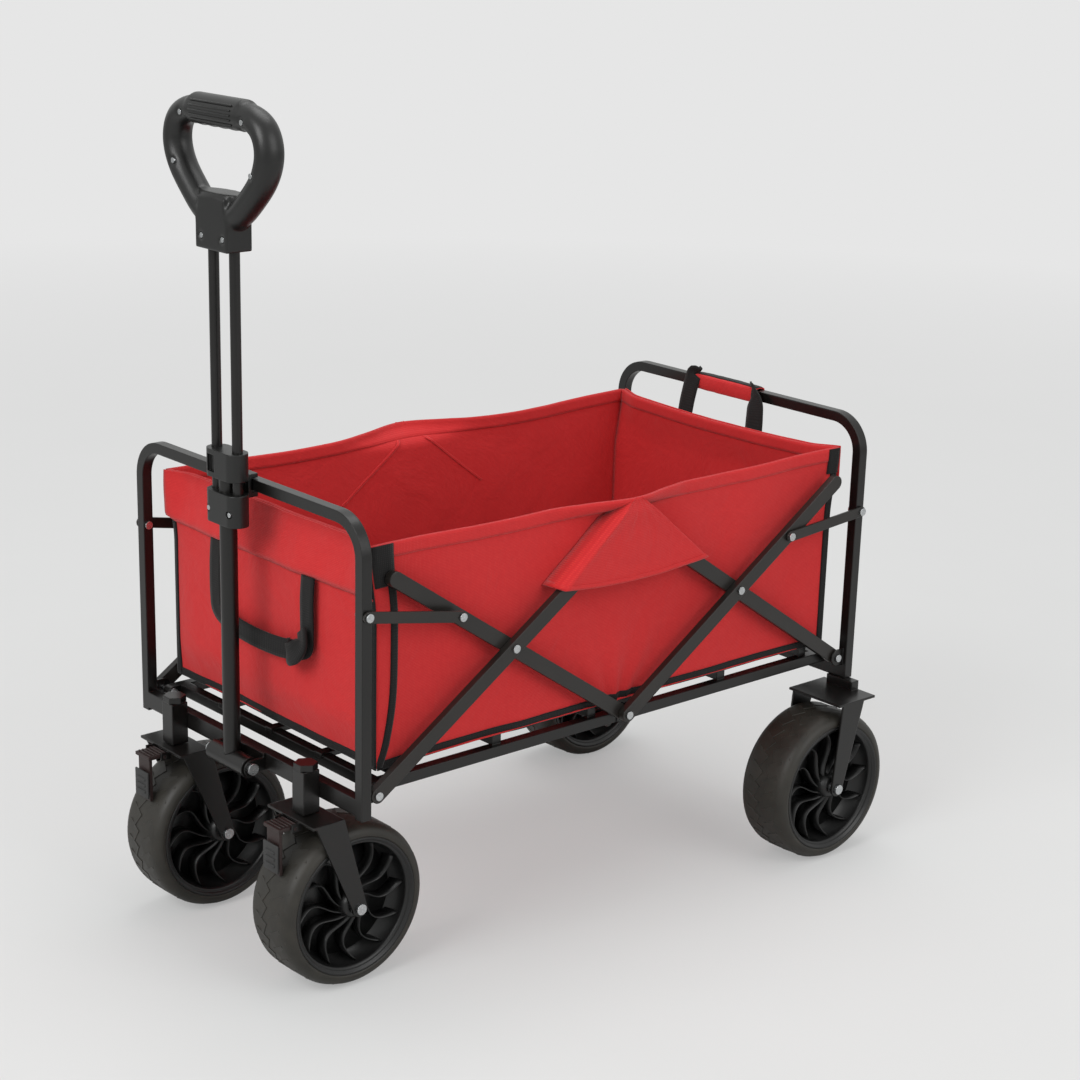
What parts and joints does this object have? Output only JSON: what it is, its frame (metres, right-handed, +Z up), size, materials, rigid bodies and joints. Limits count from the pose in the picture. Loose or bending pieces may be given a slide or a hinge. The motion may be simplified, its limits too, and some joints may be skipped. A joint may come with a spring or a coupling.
{
  "type": "folding wagon",
  "caption": "Folding garden wagon with a red fabric tub, crossing side bars, swivel casters and a telescopic pull handle.",
  "frame": {"origin": "on the ground under the middle of the open wagon, midway between the end frames", "axes": "+Z up, -Y towards the pull handle, +X to the right seen from the handle looking at the wagon"},
  "size_m": [0.5524, 0.9085, 1.0055],
  "materials": {
    "black_metal": "satin black powder coat",
    "grey_metal": "dark grey powder coat",
    "bright_steel": "zinc plated",
    "red_fabric": "woven polyester",
    "mat_fabric": "woven polyester over board",
    "black_webbing": "webbing",
    "tread_rubber": "matt",
    "rim_plastic": "moulded",
    "handle_plastic": "fine grain",
    "brake_plastic": "ridged"
  },
  "bodies": {
    "front_frame": {"front_u_frame": "black_metal", "caster_housings": "black_metal", "housing_caps": "black_metal", "front_rivets": "bright_steel", "handle_bracket": "black_metal", "handle_pivot_bolt": "bright_steel", "fabric_tub": "red_fabric", "side_flaps": "red_fabric", "front_strap": "black_webbing"},
    "front_low_bars": {"front_low_bar_right": "grey_metal", "front_low_bar_left": "grey_metal", "front_bar_rivets": "bright_steel"},
    "front_top_bars": {"front_top_bar_right": "grey_metal", "front_top_bar_left": "grey_metal", "middle_rivets": "bright_steel"},
    "rear_low_bars": {"rear_low_bar_right": "grey_metal", "rear_low_bar_left": "grey_metal", "rear_bar_rivets": "bright_steel"},
    "rear_top_bars": {"rear_top_bar_right": "grey_metal", "rear_top_bar_left": "grey_metal"},
    "rear_frame": {"rear_u_frame": "black_metal", "rear_forks": "black_metal", "rear_axles": "bright_steel", "rear_rivets": "bright_steel", "rail_wrap": "red_fabric", "wrap_straps": "black_webbing"},
    "front_link_pair": {"front_links": "grey_metal", "front_link_rivets": "bright_steel"},
    "rear_link_pair": {"rear_links": "grey_metal", "rear_link_rivets": "bright_steel"},
    "floor_front": {"floor_frame_front": "black_metal", "floor_hinge_pins": "bright_steel", "mat_front": "mat_fabric"},
    "floor_rear": {"floor_frame_rear": "black_metal", "mat_rear": "mat_fabric"},
    "handle_base": {"handle_sleeve": "black_metal", "handle_stick": "black_metal", "upper_coupler": "handle_plastic"},
    "handle_slider": {"handle_rods": "black_metal", "lower_coupler": "handle_plastic", "grip_front": "handle_plastic", "grip_rear": "handle_plastic", "handle_screws": "bright_steel"},
    "caster_right": {"caster_fork_right": "black_metal", "caster_axle_right": "bright_steel"},
    "brake_right": {"brake_pedal_right": "brake_plastic"},
    "front_wheel_right": {"tyre_front_right": "tread_rubber", "rim_front_right": "rim_plastic"},
    "caster_left": {"caster_fork_left": "black_metal", "caster_axle_left": "bright_steel"},
    "brake_left": {"brake_pedal_left": "brake_plastic"},
    "front_wheel_left": {"tyre_front_left": "tread_rubber", "rim_front_left": "rim_plastic"},
    "rear_wheel_right": {"tyre_rear_right": "tread_rubber", "rim_rear_right": "rim_plastic"},
    "rear_wheel_left": {"tyre_rear_left": "tread_rubber", "rim_rear_left": "rim_plastic"}
  },
  "joints": [
    {"name": "fold", "type": "hinge", "parent": "front_frame", "child": "front_low_bars", "pos_m": [0, -0.38048, 0.258], "axis": [1, 0, 0], "range_deg": [0, 44.1], "deforming": ["fabric_tub", "side_flaps", "front_strap"]},
    {"name": "front_cross", "type": "hinge", "parent": "front_low_bars", "child": "front_top_bars", "pos_m": [0, -0.18343, 0.39041], "axis": [1, 0, 0], "range_deg": [-88.22, 0]},
    {"name": "top_cross", "type": "hinge", "parent": "front_low_bars", "child": "rear_low_bars", "pos_m": [0, 0, 0.51367], "axis": [1, 0, 0], "range_deg": [-88.22, 0]},
    {"name": "rear_cross", "type": "hinge", "parent": "rear_low_bars", "child": "rear_top_bars", "pos_m": [0, 0.18343, 0.39041], "axis": [1, 0, 0], "range_deg": [0, 88.22]},
    {"name": "rear_pivot", "type": "hinge", "parent": "rear_low_bars", "child": "rear_frame", "pos_m": [0, 0.38048, 0.258], "axis": [1, 0, 0], "range_deg": [0, 44.11]},
    {"name": "front_link_swing", "type": "hinge", "parent": "front_frame", "child": "front_link_pair", "pos_m": [0, -0.397, 0.471], "axis": [1, 0, 0], "range_deg": [0, 79.71]},
    {"name": "rear_link_swing", "type": "hinge", "parent": "rear_frame", "child": "rear_link_pair", "pos_m": [0, 0.397, 0.457], "axis": [1, 0, 0], "range_deg": [-75.76, 0]},
    {"name": "floor_lift", "type": "hinge", "parent": "front_frame", "child": "floor_front", "pos_m": [0, -0.38048, 0.258], "axis": [1, 0, 0], "range_deg": [0, 77.1]},
    {"name": "floor_break", "type": "hinge", "parent": "floor_front", "child": "floor_rear", "pos_m": [0, 0, 0.2475], "axis": [1, 0, 0], "range_deg": [-154.19, 0]},
    {"name": "handle_tilt", "type": "hinge", "parent": "front_frame", "child": "handle_base", "pos_m": [0, -0.423, 0.241], "axis": [1, 0, 0], "range_deg": [0, 95]},
    {"name": "handle_slide", "type": "slide", "parent": "handle_base", "child": "handle_slider", "axis": [0, 0, 1], "range_m": [-0.22, 0.015]},
    {"name": "swivel_right", "type": "hinge", "parent": "front_frame", "child": "caster_right", "pos_m": [0.136, -0.4145, 0.24], "axis": [0, 0, 1], "continuous": true},
    {"name": "roll_front_right", "type": "hinge", "parent": "caster_right", "child": "front_wheel_right", "pos_m": [0.136, -0.3705, 0.1], "axis": [1, 0, 0], "continuous": true},
    {"name": "brake_lift_right", "type": "hinge", "parent": "caster_right", "child": "brake_right", "pos_m": [0.136, -0.4415, 0.209], "axis": [1, 0, 0], "range_deg": [-12, 0]},
    {"name": "swivel_left", "type": "hinge", "parent": "front_frame", "child": "caster_left", "pos_m": [-0.136, -0.4145, 0.24], "axis": [0, 0, 1], "continuous": true},
    {"name": "roll_front_left", "type": "hinge", "parent": "caster_left", "child": "front_wheel_left", "pos_m": [-0.136, -0.3705, 0.1], "axis": [1, 0, 0], "continuous": true},
    {"name": "brake_lift_left", "type": "hinge", "parent": "caster_left", "child": "brake_left", "pos_m": [-0.136, -0.4415, 0.209], "axis": [1, 0, 0], "range_deg": [-12, 0]},
    {"name": "roll_rear_right", "type": "hinge", "parent": "rear_frame", "child": "rear_wheel_right", "pos_m": [0.228, 0.338, 0.1], "axis": [1, 0, 0], "continuous": true},
    {"name": "roll_rear_left", "type": "hinge", "parent": "rear_frame", "child": "rear_wheel_left", "pos_m": [-0.228, 0.338, 0.1], "axis": [1, 0, 0], "continuous": true}
  ],
  "couplings": [
    {"joint": "front_cross", "follows": "fold", "ratio": -2},
    {"joint": "top_cross", "follows": "fold", "ratio": -2},
    {"joint": "rear_cross", "follows": "fold", "ratio": 2},
    {"joint": "rear_pivot", "follows": "fold", "ratio": 1},
    {"joint": "front_link_swing", "follows": "fold", "ratio": 1.807},
    {"joint": "rear_link_swing", "follows": "fold", "ratio": -1.7176},
    {"joint": "floor_lift", "follows": "fold", "ratio": 1.7478},
    {"joint": "floor_break", "follows": "fold", "ratio": -3.4957}
  ]
}
